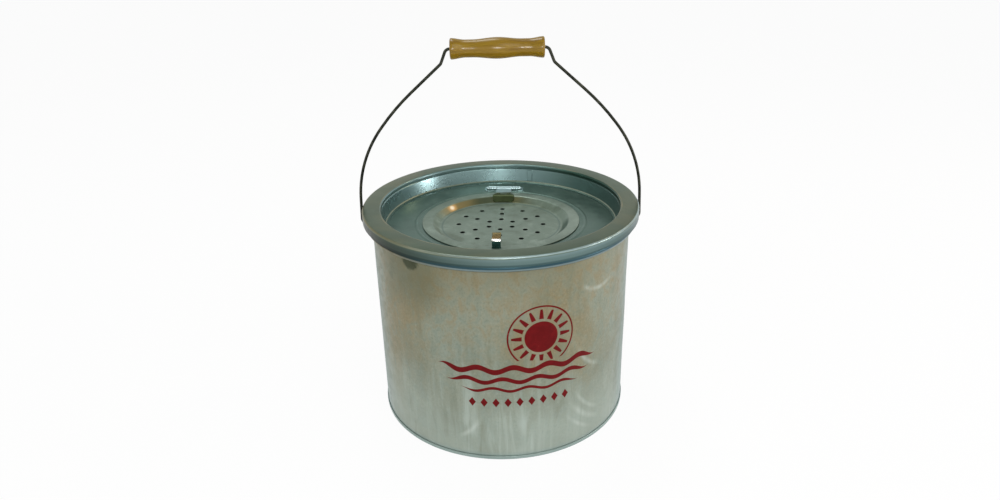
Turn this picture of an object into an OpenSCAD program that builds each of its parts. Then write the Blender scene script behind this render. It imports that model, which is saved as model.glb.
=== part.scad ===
// Two-piece galvanised bait bucket. An outer pail with a wooden-grip bail carries a lift-out
// insert: a hollow float collar, a sunken deck with a hinged breather door, and a perforated
// basket below. The origin is the centre of the foot ring, +Z is up and the front is -Y.

/* [Pail] */
// Outer diameter of the pail wall
pail_d = 252; // [244:1:258]
// Height of the centre of the rolled rim above the foot
rim_z = 201.6; // [180:0.2:240]
// Thickness of the galvanised sheet
sheet_t = 0.8; // [0.6:0.1:0.9]
// Diameter of the wire rolled into the rim
rim_wire_d = 5.6; // [4.6:0.2:5.8]
// Height of the seam ring round the foot
foot_h = 3.6; // [3:0.2:6]
// Height of the pail bottom above the foot
bottom_z = 5; // [4.4:0.2:8]
// Width of the folded side seam at the back
side_seam_w = 7; // [4:0.5:12]

/* [Ears and bail] */
// Height of the two bail eyes above the foot
eye_z = 192; // [170:0.5:192]
// Distance between the two rivets of an ear
ear_rivet_gap = 25; // [22:1:36]
// Diameter of an ear rivet's shank
ear_rivet_d = 3.2; // [2.4:0.2:4]
// How far an ear's boss stands out from the wall
boss_out = 4.2; // [4:0.1:5]
// Diameter of the bail wire
wire_d = 3.2; // [2.4:0.1:3.4]
// Gap between the bail and the float collar
bail_gap = 1; // [0.8:0.1:3]
// Height of the centre of the grip above the foot
grip_z = 361; // [350:1:400]
// Length of the wooden grip
grip_l = 89.2; // [80:0.2:89.4]
// Diameter of the grip at its belly and at its ends
grip_d = 19.1; // [16:0.1:24]
// How much thinner the grip is at its two waists
grip_waist = 3.2; // [1:0.2:5]

/* [Float collar] */
// Gap between the collar's skirt and the pail's rim
skirt_gap = 1.7; // [1:0.1:3]
// Width of the collar's flat top
collar_w = 18.2; // [16.4:0.2:20]
// Height of the collar's skirt
skirt_h = 9.4; // [9.2:0.2:16]
// Height of the collar's flat top above the centre of the pail rim
collar_rise = 12.4; // [12:0.2:16]
// Radius of the collar's outer edge
collar_edge_r = 2.2; // [1.4:0.2:3]
// How much the well narrows from its mouth to the deck
well_taper = 3; // [1:0.2:5]
// Depth of the deck below the collar's flat top
deck_depth = 20.4; // [19:0.2:26]
// Turn of the insert in the pail, seen from above
insert_turn = -3; // [-10:1:10]

/* [Deck and basket] */
// Distance from the door's edge to the bead pressed into the deck round it
bead_gap = 5.9; // [4.6:0.1:7]
// Height of that bead
bead_h = 1.2; // [0.6:0.1:1.4]
// Gap between the basket and the pail's wall
basket_gap = 3.65; // [2.4:0.05:6]
// Height of the basket's bottom above the foot
basket_z = 16; // [10:1:60]
// Diameter of the holes in the basket
basket_hole_d = 4; // [3:0.5:6]
// Rows of holes in the basket wall
basket_rows = 4; // [1:1:6]
// Holes in one row
row_holes = 16; // [8:1:24]
// Distance from row to row
row_gap = 30; // [12:1:34]

/* [Door] */
// Diameter of the dish at the flange
dish_d = 134; // [128:0.5:138]
// How far the door's flange laps over the deck's opening
door_lap = 4.1; // [3:0.1:8]
// Depth of the dish
dish_depth = 5.8; // [4:0.2:8]
// Diameter of a breather hole
vent_d = 3.8; // [2.5:0.1:5]
// Radius of the inner ring of breather holes
vent_r1 = 13.3; // [11:0.1:16]
// Radius of the middle ring
vent_r2 = 28.3; // [22:0.1:32]
// Radius of the outer ring
vent_r3 = 42.1; // [38:0.1:44]

/* [Hinge and catch] */
// Distance of the hinge pin behind the bead
hinge_gap = 3.2; // [3.1:0.1:7]
// Height of the hinge pin above the deck
hinge_rise = 2.6; // [2.6:0.1:4]
// Diameter of the hinge pin
pin_d = 2.4; // [1.6:0.1:2.6]
// Diameter of the hinge's knuckles
knuckle_d = 4.4; // [4:0.1:5]
// Width of the leaf on the deck
leaf_w = 42; // [38:0.5:50]
// Width of the door strap at the hinge
strap_w = 16.5; // [12:0.5:18]
// Width of the door strap at its free end
strap_end_w = 23; // [16:0.5:28]
// Width of the catch strip
catch_w = 8; // [6:0.5:12]
// Height of the catch strip's crest above the door's flange
catch_h = 8.4; // [6:0.2:14]
// Distance of the catch strip to the right of the door's middle
catch_x = -0.9; // [-2:0.1:2]
// Length of the catch strip's thumb rest
thumb_l = 11.5; // [8:0.5:14]

/* [Fits] */
// Gap between pieces that rest on or pass each other
rest_gap = 0.3; // [0.2:0.05:0.5]
// Gap in seams and folded joints
seam_gap = 0.05; // [0.04:0.01:0.1]
// Running clearance round the pins and wires
run_gap = 0.08; // [0.03:0.01:0.1]

/* [Hidden] */
$fn = 72;

t = sheet_t;
wall_r = pail_d / 2;
curl_r = rim_wire_d / 2 + seam_gap + t;
rim_r = wall_r - t + curl_r;
rim_top = rim_z + curl_r;
collar_r = rim_r + curl_r + skirt_gap + t;
top_z = rim_z + collar_rise;
skirt_z = top_z - skirt_h;
deck_z = top_z - deck_depth;
basket_r = wall_r - t - basket_gap;
well_r = collar_r - collar_w;
foot_r = well_r - well_taper;
lip_h = 4.2;
flange_h = 9;
first_row = 24;
solder_h = 1.8;
leaf_l = 9.4;
leaf_step = 3.4;
ring_pitch = 28;
float_z = rim_top + rest_gap;
wire_r = wire_d / 2;
door_z = deck_z + rest_gap + t;
floor_z = door_z - dish_depth;
dish_r = dish_d / 2;
catch_in = 4.2;
catch_bump = 1.3;
catch_room = 0.5;
catch_r = dish_r + catch_in;
catch_foot = dish_r - dish_depth - 10;
open_r = catch_r + t + catch_bump + catch_room;
door_r = open_r + door_lap;
bead_r = door_r + bead_gap;
hinge_y = bead_r + hinge_gap;
small_rivet_d = 2.4;
small_head_d = 4;
ear_head_d = 6.4;
pin_z = deck_z + hinge_rise;
knuckle_r = knuckle_d / 2;
strap_t = 1;
ear_t = 1;
galv = [0.62, 0.66, 0.64];
galv_dark = [0.45, 0.50, 0.50];
bright = [0.80, 0.82, 0.83];

// Points of an arc in a profile, from angle a0 to a1
function arc(cx, cy, r, a0, a1, n = 8) =
    [for (i = [0:n]) let (a = a0 + (a1 - a0) * i / n) [cx + r * cos(a), cy + r * sin(a)]];

// Direction from one point of a path to the next
function unit(a, b) = (b - a) / norm(b - a);

// Point of a path moved sideways by d, mitred at the corners
function beside(p, i, d) =
    let (n = len(p),
        a = i > 0 ? unit(p[i - 1], p[i]) : unit(p[0], p[1]),
        b = i < n - 1 ? unit(p[i], p[i + 1]) : unit(p[n - 2], p[n - 1]),
        m = [-(a + b)[1], (a + b)[0]] / norm(a + b),
        c = m * [-a[1], a[0]])
    p[i] + m * d / c;

// Outline of a bent sheet: the path itself is one face, the other lies d beside it
function sheet(p, d) = concat(p, [for (i = [len(p) - 1:-1:0]) beside(p, i, d)]);

module turned(p) {
    rotate_extrude($fn = 120)
        polygon(p);
}

module in_insert() {
    rotate([0, 0, insert_turn])
        children();
}

// ---- Pail

module pail_wall() {
    // one sheet: a plain wall, rolled outward round the rim wire
    color(galv)
    difference() {
        union() {
            rotate_extrude($fn = 120)
                difference() {
                    union() {
                        translate([wall_r - t, t + seam_gap])
                            square([t, rim_z - t - seam_gap]);
                        translate([rim_r, rim_z])
                            circle(r = curl_r, $fn = 48);
                    }
                    translate([rim_r, rim_z])
                        circle(r = curl_r - t, $fn = 48);
                    // the curl's free edge stops short of the wall
                    translate([wall_r, rim_z - curl_r - 1])
                        square([rim_r - wall_r - 0.6, curl_r + 0.2]);
                }
            // folded side seam down the back
            rotate([0, 0, 90 - side_seam_w / wall_r * 28.65])
                rotate_extrude(angle = side_seam_w / wall_r * 57.3, $fn = 120)
                    translate([wall_r - t / 2, foot_h + 1.5])
                        square([t * 1.5, rim_z - curl_r - foot_h - 4]);
        }
        ear_rivet_holes();
    }
}

module pail_rim_wire() {
    color(galv_dark)
    rotate_extrude($fn = 120)
        translate([rim_r, rim_z])
            circle(d = rim_wire_d, $fn = 36);
}

module pail_bottom() {
    // flanged disc: its edge runs down inside the wall, under it and up outside as the foot seam
    inside = wall_r - t - seam_gap;
    outside = wall_r + seam_gap;
    color(galv)
    turned([[0, bottom_z], [inside - t, bottom_z], [inside - t, 0], [outside + t, 0],
        [outside + t, foot_h - 0.4], [outside + t - 0.3, foot_h], [outside, foot_h],
        [outside, t], [inside, t], [inside, bottom_z + t], [0, bottom_z + t]]);
}

module ear_rivet_at() {
    a = asin(ear_rivet_gap / 2 / wall_r);
    for (s = [-1, 1])
        rotate([0, 0, s * a])
            translate([wall_r, 0, eye_z - 1.5])
                rotate([0, 90, 0])
                    children();
}

module ear_rivet_holes() {
    for (s = [0, 180])
        rotate([0, 0, s])
            ear_rivet_at()
                translate([0, 0, -4])
                    cylinder(d = ear_rivet_d + 2 * seam_gap, h = 8, $fn = 32);
}

// Ear on the +X side: a curved plate with a hollow boss that carries the bail's eye
module ear() {
    boss_r = 5.2;
    face = wall_r + boss_out;
    color(galv_dark)
    difference() {
        union() {
            intersection() {
                translate([0, 0, eye_z - 16])
                    rotate_extrude($fn = 120)
                        translate([wall_r + seam_gap, 0])
                            square([ear_t, 24]);
                translate([wall_r - 10, 0, eye_z - 1.5])
                    rotate([0, 90, 0])
                        union() {
                            translate([-5.5, -ear_rivet_gap / 2, 0])
                                cube([11, ear_rivet_gap, 20]);
                            for (s = [-1, 1])
                                translate([0, s * ear_rivet_gap / 2, 0])
                                    cylinder(r = 5.5, h = 20, $fn = 48);
                        }
            }
            translate([wall_r + 0.5, 0, eye_z])
                rotate([0, 90, 0])
                    cylinder(r1 = boss_r, r2 = 4, h = boss_out - 0.5, $fn = 48);
        }
        translate([wall_r - 2, 0, eye_z])
            rotate([0, 90, 0])
                cylinder(r1 = boss_r - 0.3, r2 = 3.1, h = boss_out + 1, $fn = 48);
        translate([wall_r - 2, 0, eye_z])
            rotate([0, 90, 0])
                cylinder(r = wire_r + run_gap, h = 12, $fn = 48);
        ear_rivet_holes();
    }
}

module ear_right() {
    ear();
}

module ear_left() {
    rotate([0, 0, 180])
        ear();
}

module rivet(d, grip, head_d, head_h) {
    // shank from 0 to grip along Z with a head at each end
    union() {
        cylinder(d = d, h = grip, $fn = 32);
        translate([0, 0, grip])
            rivet_head(head_d, head_h, d);
        mirror([0, 0, 1])
            rivet_head(head_d, head_h, d);
    }
}

module rivet_head(head_d, head_h, d) {
    rotate_extrude($fn = 32)
        polygon([[0, -0.2], [d / 2, -0.2], [d / 2, 0], [head_d / 2, 0], [head_d / 2, head_h * 0.3],
            [head_d * 0.38, head_h * 0.75], [head_d * 0.2, head_h], [0, head_h]]);
}

module ear_rivets() {
    color(galv_dark)
    for (s = [0, 180])
        rotate([0, 0, s])
            ear_rivet_at()
                translate([0, 0, -t - 2 * seam_gap])
                    rivet(ear_rivet_d, ear_t + t + 4 * seam_gap, ear_head_d, ear_head_d / 5);
}

// ---- Bail

up_x = collar_r + bail_gap + wire_r;
pivot_x = wall_r + boss_out + 0.6;
eye_bend_r = up_x - pivot_x;
rod_half = grip_l / 2 + rest_gap;
entry_r = 5;
// each step is a straight run, then a bend of a radius through an angle, plus is inward
bail_steps = [[20.6, 120, 35.5], [3, 230, 10.5], [34.6, 6, -26.5], [12.3, 1, 0]];

// heading at the start of step i, then the height and the way inward covered before it
function heading(i) = i == 0 ? 2.5 : heading(i - 1) + bail_steps[i - 1][2];
function gained(i) = i == 0 ? 0 : gained(i - 1) + bail_steps[i - 1][0] * cos(heading(i - 1))
    + sign(bail_steps[i - 1][2]) * bail_steps[i - 1][1] * (sin(heading(i)) - sin(heading(i - 1)));
function inward(i) = i == 0 ? 0 : inward(i - 1) + bail_steps[i - 1][0] * sin(heading(i - 1))
    + sign(bail_steps[i - 1][2]) * bail_steps[i - 1][1] * (cos(heading(i - 1)) - cos(heading(i)));

// the steps keep their form: they are scaled and tilted to reach from the eye to the grip
function reach_in(tilt) = pivot_x + eye_bend_r * cos(heading(0) + tilt) - rod_half
    - entry_r * cos(heading(3) + tilt);
function reach_up(tilt) = grip_z - eye_z - eye_bend_r * (1 + sin(heading(0) + tilt))
    - entry_r * (1 - sin(heading(3) + tilt));
function tilt_for(tilt, n) = n == 0 ? tilt
    : tilt_for(atan2(reach_in(tilt), reach_up(tilt)) - atan2(inward(4), gained(4)), n - 1);
tilt = tilt_for(0, 4);
step_scale = norm([reach_in(tilt), reach_up(tilt)]) / norm([inward(4), gained(4)]);
bends = [for (b = bail_steps) [b[0] * step_scale, b[1] * step_scale, b[2]]];
lean = heading(0) + tilt;
shoulder_a = heading(3) + tilt;
joint_r = wire_r + 0.03;
joint_gap = 0.1;

// a straight run up +Z, then a bend towards -X, then what follows; the bends end in round joints
module run(l, r, a) {
    side = a > 0 ? -1 : 1;
    trim = joint_gap / r * 57.3;
    translate([0, 0, joint_gap])
        cylinder(r = wire_r, h = l - 2 * joint_gap, $fn = 32);
    translate([0, 0, l])
        sphere(r = joint_r, $fn = 32);
    translate([side * r, 0, l])
        rotate([90, 0, 0])
            rotate([0, 0, (a > 0 ? 0 : 180 + a) + trim])
                rotate_extrude(angle = abs(a) - 2 * trim, $fn = 96)
                    translate([r, 0])
                        circle(r = wire_r, $fn = 32);
    translate([side * r, 0, l])
        rotate([0, -a, 0])
            translate([-side * r, 0, 0]) {
                sphere(r = joint_r, $fn = 32);
                children();
            }
}

module half_bail() {
    translate([wall_r + 1, 0, eye_z])
        rotate([0, 90, 0])
            union() {
                cylinder(r = wire_r + 0.6, h = 1.4, $fn = 32);
                run(pivot_x - wall_r - 1, eye_bend_r, 90 + lean)
                    run(bends[0][0], bends[0][1], bends[0][2])
                        run(bends[1][0], bends[1][1], bends[1][2])
                            run(bends[2][0], bends[2][1], bends[2][2])
                                run(bends[3][0], entry_r, 90 - shoulder_a);
            }
}

module bail_wire() {
    color([0.22, 0.22, 0.18])
    union() {
        half_bail();
        mirror([1, 0, 0])
            half_bail();
        translate([-rod_half + joint_gap, 0, grip_z])
            rotate([0, 90, 0])
                cylinder(r = wire_r, h = 2 * (rod_half - joint_gap), $fn = 32);
    }
}

// Turned wooden grip: a belly, two waists and two flared ends, bored for the wire
module grip() {
    n = 32;
    half = grip_l / 2;
    pitch = grip_l / 2 + 1.4;
    color([0.78, 0.55, 0.27])
    translate([0, 0, grip_z])
        rotate([0, 90, 0])
            difference() {
                rotate_extrude($fn = 72)
                    polygon(concat([[0, -half], [grip_d / 2 - 1.4, -half]],
                        [for (i = [0:n]) let (x = (half - 1) * (2 * i / n - 1))
                            [grip_d / 2 - grip_waist / 4 * (1 - cos(360 * x / pitch)), x]],
                        [[grip_d / 2 - 1.4, half], [0, half]]));
                translate([0, 0, -half - 1])
                    cylinder(r = wire_r + run_gap, h = grip_l + 2, $fn = 32);
            }
}

// ---- Float collar

module collar_shell() {
    e = collar_edge_r;
    lip = 1.8;
    color(galv)
    turned(sheet(concat([[collar_r, skirt_z]],
        arc(collar_r - e, top_z - e, e, 0, 90, 6),
        arc(well_r + lip, top_z - lip, lip, 90, 180, 6),
        [[well_r, top_z - lip_h]]), t));
}

// Inner face of the well's wall at a height
function well_face(z) = foot_r + (z - deck_z - t) * (well_r - foot_r)
    / (top_z - lip_h - 1.2 - deck_z - t);

module well_wall() {
    // rolled strip: a foot on the deck, a leaning wall, and a joggle that laps behind the lip
    joggle = t + seam_gap;
    seam_low = deck_z + t + solder_h + rest_gap;
    seam_high = top_z - lip_h - 1.4;
    color(galv)
    union() {
        turned(sheet([[foot_r - 2.4, deck_z + t], [foot_r, deck_z + t],
            [well_r, top_z - lip_h - 1.2], [well_r + joggle, top_z - lip_h - 0.15],
            [well_r + joggle, top_z - t - 1.1]], -t));
        // lap seam of the strip
        rotate([0, 0, 71.5])
            rotate_extrude(angle = 3, $fn = 120)
                polygon([[well_face(seam_low) + t / 2, seam_low],
                    [well_face(seam_high) + t / 2, seam_high],
                    [well_face(seam_high) - 0.5, seam_high],
                    [well_face(seam_low) - 0.5, seam_low]]);
    }
}

module float_floor() {
    // closes the float from below and is the ledge that rests on the pail rim
    color(galv_dark)
    turned(sheet([[basket_r + seam_gap + t, float_z - flange_h], [basket_r + seam_gap + t, float_z],
        [collar_r - t - seam_gap, float_z], [collar_r - t - seam_gap, float_z + 4.6]], t));
}

module deck_plate() {
    r0 = basket_r - t - seam_gap;
    color(galv)
    difference() {
        turned(sheet(concat([[r0, deck_z - flange_h * 0.75], [r0, deck_z]],
            [for (i = [0:8]) [bead_r + 1.8 - 3.6 * i / 8, deck_z + bead_h * sin(22.5 * i)]],
            [[open_r + 1, deck_z], [open_r, deck_z - 1], [open_r, deck_z - 3.2]]), t));
        leaf_rivet_at()
            translate([0, 0, -4])
                cylinder(d = small_rivet_d + 2 * seam_gap, h = 8, $fn = 24);
    }
}

module deck_solder() {
    // soldered fillet between the well wall's foot and the wall
    color(bright)
    turned([[foot_r - 2.2, deck_z + t + seam_gap], [foot_r - 0.05, deck_z + t + seam_gap],
        [foot_r + 0.25, deck_z + t + solder_h], [foot_r - 0.5, deck_z + t + solder_h * 0.6]]);
}

// ---- Basket

module basket_wall() {
    color(galv_dark)
    difference() {
        rotate_extrude($fn = 120)
            translate([basket_r - t, basket_z])
                square([t, float_z - seam_gap - basket_z]);
        for (j = [0:basket_rows - 1])
            for (i = [0:row_holes - 1])
                rotate([0, 0, 360 / row_holes * (i + (j % 2) / 2)])
                    translate([basket_r - 4, 0, basket_z + first_row + row_gap * j])
                        rotate([0, 90, 0])
                            cylinder(d = basket_hole_d, h = 8, $fn = 24);
    }
}

module basket_bottom() {
    r0 = basket_r - t - seam_gap;
    color(galv_dark)
    difference() {
        turned([[0, basket_z + 1], [r0 - 2, basket_z + 1], [r0 - 0.6, basket_z + 0.4],
            [r0, basket_z + 1.4], [r0, basket_z + flange_h], [r0 - t, basket_z + flange_h],
            [r0 - t, basket_z + 1 + t], [0, basket_z + 1 + t]]);
        for (k = [1:3])
            for (i = [0:6 * k - 1])
                rotate([0, 0, 60 / k * i])
                    translate([ring_pitch * k, 0, basket_z - 2])
                        cylinder(d = basket_hole_d, h = 8, $fn = 24);
    }
}

// ---- Door

function dish_face() = [[door_r - 0.5, door_z], [dish_r + 0.9, door_z], [dish_r - 0.5, door_z - 0.6],
    [dish_r - dish_depth + 0.9, floor_z + 0.6], [dish_r - dish_depth - 0.6, floor_z]];

module vent_holes() {
    for (ring = [[vent_r1, 6, 90], [vent_r2, 6, 90], [vent_r3, 12, 0]])
        for (i = [0:ring[1] - 1])
            rotate([0, 0, ring[2] + 360 / ring[1] * i])
                translate([ring[0], 0, floor_z - 3])
                    cylinder(d = vent_d, h = 6, $fn = 24);
}

module strap_rivet_at() {
    for (s = [-1, 1])
        translate([s * strap_w / 3, catch_r, door_z])
            children();
}

module door_pan() {
    color(galv)
    in_insert()
        difference() {
            turned(concat([[door_r, door_z - 0.3], [door_r - 0.3, door_z]], dish_face(),
                [[0, floor_z], [0, floor_z - t], [dish_r - dish_depth - 0.4, floor_z - t],
                [dish_r - dish_depth + 1.5, floor_z + 0.1 - t], [dish_r + 0.2, door_z - 0.6 - t],
                [dish_r + 1.1, door_z - t], [door_r - 0.3, door_z - t], [door_r, door_z - t + 0.3]]));
            vent_holes();
            strap_rivet_at()
                translate([0, 0, -4])
                    cylinder(d = small_rivet_d + 2 * seam_gap, h = 8, $fn = 24);
            translate([catch_x - catch_w / 2 - 0.4, -catch_r - t - 0.5, door_z - 3])
                cube([catch_w + 0.8, t + 1.6, 6]);
            translate([catch_x, -catch_foot - 3.4, floor_z - 3])
                cylinder(d = small_rivet_d + 2 * seam_gap, h = 6, $fn = 24);
        }
}

module door_strap() {
    // formed strap: it lies on the slope and the flange of the door, steps over the deck's bead
    // and wraps the hinge pin
    g = seam_gap;
    face = [[hinge_y + 0.6, door_z + 0.6], [bead_r - 1.6, door_z + 0.6], [door_r, door_z + g],
        [dish_r + 0.9, door_z + g], [dish_r - 0.5, door_z - 0.6 + g],
        [dish_r - dish_depth + 0.9, floor_z + 0.6 + g]];
    color(bright)
    in_insert()
        difference() {
            union() {
                intersection() {
                    rotate([0, 0, 70])
                        rotate_extrude(angle = 40, $fn = 120)
                            polygon(sheet(face, -strap_t));
                    strap_outline();
                }
                translate([-strap_w / 2, hinge_y, pin_z])
                    rotate([0, 90, 0])
                        cylinder(r = knuckle_r, h = strap_w, $fn = 48);
            }
            translate([-strap_w, hinge_y, pin_z])
                rotate([0, 90, 0])
                    cylinder(d = pin_d + 2 * run_gap, h = strap_w * 2, $fn = 32);
            strap_rivet_at()
                translate([0, 0, -4])
                    cylinder(d = small_rivet_d + 2 * seam_gap, h = 8, $fn = 24);
        }
}

module strap_outline() {
    y0 = dish_r - dish_depth;
    y1 = dish_r - 1;
    w = strap_w / 2;
    e = strap_end_w / 2;
    translate([0, 0, floor_z - 2])
        linear_extrude(height = 20)
            union() {
                polygon([[-w, hinge_y - 0.2], [-w, y1 + 7], [-e, y1 + 1], [-e, y0 + 3], [e, y0 + 3],
                    [e, y1 + 1], [w, y1 + 7], [w, hinge_y - 0.2]]);
                translate([-e + 3, y0])
                    square([strap_end_w - 6, 6]);
                for (s = [-1, 1])
                    translate([s * (e - 3), y0 + 3])
                        circle(r = 3, $fn = 32);
            }
}

module strap_rivets() {
    color(bright)
    in_insert()
        strap_rivet_at()
            translate([0, 0, -t - seam_gap])
                rivet(small_rivet_d, t + strap_t + 3 * seam_gap, small_head_d, small_head_d / 5);
}

// ---- Hinge on the deck

module leaf_rivet_at() {
    in_insert()
        for (s = [-1, 1])
            translate([s * leaf_w / 3, hinge_y + leaf_l - 3.8, deck_z])
                children();
}

module hinge_leaf() {
    notch = strap_w / 2 + rest_gap;
    arm = leaf_w / 2 - leaf_step;
    color(bright)
    difference() {
        in_insert()
            difference() {
                union() {
                    translate([-leaf_w / 2, hinge_y - 1, deck_z + seam_gap])
                        cube([leaf_w, leaf_l, strap_t]);
                    translate([-arm, hinge_y, pin_z])
                        rotate([0, 90, 0])
                            cylinder(r = knuckle_r, h = 2 * arm, $fn = 48);
                    translate([-arm, hinge_y - 1, deck_z + seam_gap])
                        cube([2 * arm, 3, hinge_rise - 1]);
                }
                translate([-notch, hinge_y - 6, deck_z - 1])
                    cube([2 * notch, 6 + knuckle_r + rest_gap, 10]);
                translate([-leaf_w, hinge_y, pin_z])
                    rotate([0, 90, 0])
                        cylinder(d = pin_d + 2 * run_gap, h = leaf_w * 2, $fn = 32);
            }
        leaf_rivet_at()
            translate([0, 0, -4])
                cylinder(d = small_rivet_d + 2 * seam_gap, h = 8, $fn = 24);
    }
}

module leaf_rivets() {
    color(bright)
    leaf_rivet_at()
        translate([0, 0, -t - seam_gap])
            rivet(small_rivet_d, t + strap_t + 3 * seam_gap, small_head_d, small_head_d / 5);
}

module hinge_pin() {
    half = leaf_w / 2 - leaf_step + seam_gap;
    head_r = hinge_rise - strap_t - 4 * seam_gap;
    color(bright)
    in_insert()
        translate([0, hinge_y, pin_z])
            rotate([0, 90, 0])
                union() {
                    translate([0, 0, -half - 0.5])
                        cylinder(d = pin_d, h = 2 * half + 1, $fn = 32);
                    for (s = [0, 1])
                        mirror([0, 0, s])
                            translate([0, 0, half])
                                rotate_extrude($fn = 32)
                                    polygon([[0, 0], [head_r, 0], [head_r, 1], [head_r - 0.6, 1.9], [0, 2.2]]);
                }
}

// ---- Catch

module catch_strip() {
    // spring strip: a foot under the dish, a leg up through the flange with a snap bump that
    // reaches under the deck, and a thumb rest bent back over the door
    foot_z = floor_z - t - seam_gap;
    crest_z = door_z + catch_h;
    outer = [[catch_foot, foot_z - t], [catch_r - 0.8, foot_z - t], [catch_r + t, foot_z - 0.2],
        [catch_r + t + catch_bump, foot_z + 1.1], [catch_r + t, foot_z + 2.6], [catch_r + t, crest_z - 2],
        [catch_r + t - 0.7, crest_z - 0.6], [catch_r + t - 2.2, crest_z],
        [catch_r - thumb_l + 1.5, crest_z + 1.1], [catch_r - thumb_l, crest_z + 1.9]];
    color(bright)
    in_insert()
        translate([catch_x, 0, 0])
            rotate([0, 0, 180])
                difference() {
                    translate([-catch_w / 2, 0, 0])
                        rotate([90, 0, 90])
                            linear_extrude(height = catch_w)
                                polygon(sheet(outer, t));
                    translate([0, catch_foot + 3.4, foot_z - 5])
                        cylinder(d = small_rivet_d + 2 * seam_gap, h = 10, $fn = 24);
                }
}

module catch_rivet() {
    color(bright)
    in_insert()
        translate([catch_x, -catch_foot - 3.4, floor_z - 2 * t - 2 * seam_gap])
            rivet(small_rivet_d, 2 * t + 3 * seam_gap, small_head_d, small_head_d / 5);
}

pail_wall();
pail_rim_wire();
pail_bottom();
ear_left();
ear_right();
ear_rivets();
bail_wire();
grip();
collar_shell();
well_wall();
float_floor();
deck_plate();
deck_solder();
basket_wall();
basket_bottom();
hinge_leaf();
leaf_rivets();
hinge_pin();
door_pan();
door_strap();
strap_rivets();
catch_strip();
catch_rivet();
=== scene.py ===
import math

import bmesh
import bpy
import numpy as np
from mathutils import Matrix, Vector, noise


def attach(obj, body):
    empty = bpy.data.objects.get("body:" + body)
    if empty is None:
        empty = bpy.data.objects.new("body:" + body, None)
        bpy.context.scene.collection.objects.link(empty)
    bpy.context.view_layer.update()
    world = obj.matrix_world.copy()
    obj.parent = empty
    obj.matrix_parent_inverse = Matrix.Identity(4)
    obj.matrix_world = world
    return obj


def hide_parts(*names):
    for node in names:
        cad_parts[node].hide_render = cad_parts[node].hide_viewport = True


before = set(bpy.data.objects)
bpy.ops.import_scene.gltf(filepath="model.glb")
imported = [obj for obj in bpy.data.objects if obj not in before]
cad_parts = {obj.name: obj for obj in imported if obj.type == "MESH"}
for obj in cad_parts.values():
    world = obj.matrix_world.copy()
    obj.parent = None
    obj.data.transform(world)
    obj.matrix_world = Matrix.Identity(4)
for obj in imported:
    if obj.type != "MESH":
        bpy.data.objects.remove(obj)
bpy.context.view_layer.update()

MM = 0.001
scene = bpy.context.scene

# A galvanised bait bucket: a pail with a wire bail and a wooden grip, and in it an insert with a
# float collar, a sunken deck and a hinged, pierced door. x runs right, y back and z up.

# ---- Sizes in millimetres: the source's own, where no comment gives the solid's

T = 0.8                                   # sheet
GAP = 0.05                                # between two sheets that touch
WALL_R = 126.0
RIM_Z = 201.6
CURL_R = 3.65
RIM_R = WALL_R - T + CURL_R
FOOT_H = 3.6
COLLAR_R = 135.0
TOP_Z = 214.0
SKIRT_Z = 204.6
WELL_R = 116.8
WELL_FOOT = 113.8
LIP_H = 4.2
DECK_Z = 193.6
BASKET_R = WALL_R - T - 3.65
OPEN_R = 73.8
DOOR_R = 77.9
BEAD_R = 83.8
BEAD_H = 0.5                              # 1.2 in the solid
BEAD_HALF = 2.2                           # half its width
DISH_R = 67.0
DISH_H = 5.8
DISH_FOOT = DISH_R - DISH_H
DOOR_Z = DECK_Z + 0.3 + T
FLOOR_Z = DOOR_Z - DISH_H
VENTS = [                                 # rings: radius, number of holes, first bearing
    (13.3, 6, 90.0), (28.3, 6, 90.0), (42.1, 12, 0.0)]
VENT_D = 4.9                              # 3.8 in the solid
TURN = -3.0                               # degrees by which the door's holes and slot are turned
EYE_Z = 192.0
GRIP_Z = 361.0
GRIP_L = 85.8                             # 89.2 in the solid
GRIP_D = 19.1
GRIP_WAIST = 3.2
WIRE_R = 1.6                              # radius of the bail's wire in the solid
WIRE_SEEN = 1.4                           # and as it is drawn
CATCH_R = DISH_R + 4.2
CATCH_X = -0.9


# ---- Mesh helpers

def unit(a, b):
    """The direction from a to b."""
    d = np.subtract(b, a)
    return d / np.linalg.norm(d)


def rounded(points, radii, steps=5):
    """An open polyline with its corners rounded by arcs."""
    points = [np.array(p, float) for p in points]
    n = len(points)
    radii = [radii] * n if isinstance(radii, (int, float)) else list(radii)
    out = []
    for i, p in enumerate(points):
        if i in (0, n - 1) or radii[i] <= 0:
            out.append(p)
            continue
        a, b = points[i - 1], points[i + 1]
        u, v = unit(p, a), unit(p, b)
        half = math.acos(max(-1, min(1, float(u @ v)))) / 2
        if half > math.radians(89):
            out.append(p)
            continue
        cut = min(radii[i] / math.tan(half), 0.49 * np.linalg.norm(a - p), 0.49 * np.linalg.norm(b - p))
        r = cut * math.tan(half)
        centre = p + unit((0, 0), u + v) * r / math.sin(half)
        p0, p1 = p + u * cut - centre, p + v * cut - centre
        a0, a1 = math.atan2(p0[1], p0[0]), math.atan2(p1[1], p1[0])
        turn = (a1 - a0 + math.pi) % (2 * math.pi) - math.pi
        for k in range(steps + 1):
            t = a0 + turn * k / steps
            out.append(centre + r * np.array([math.cos(t), math.sin(t)]))
    return out


def beside(path, i, d):
    """The corner that lies beside a path's corner i when the path is moved sideways by d."""
    a = unit(path[i - 1], path[i]) if i > 0 else unit(path[0], path[1])
    b = unit(path[i], path[i + 1]) if i < len(path) - 1 else unit(path[-2], path[-1])
    m = np.array([-(a + b)[1], (a + b)[0]]) / np.linalg.norm(a + b)
    return np.array(path[i]) + m * d / float(m @ np.array([-a[1], a[0]]))


def sheet(path, d):
    """Closed outline of a bent sheet: the path is one face and the other lies d beside it."""
    path = [np.array(p, float) for p in path]
    far = [beside(path, i, d) for i in range(len(path))]
    return path + far[::-1]


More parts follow.
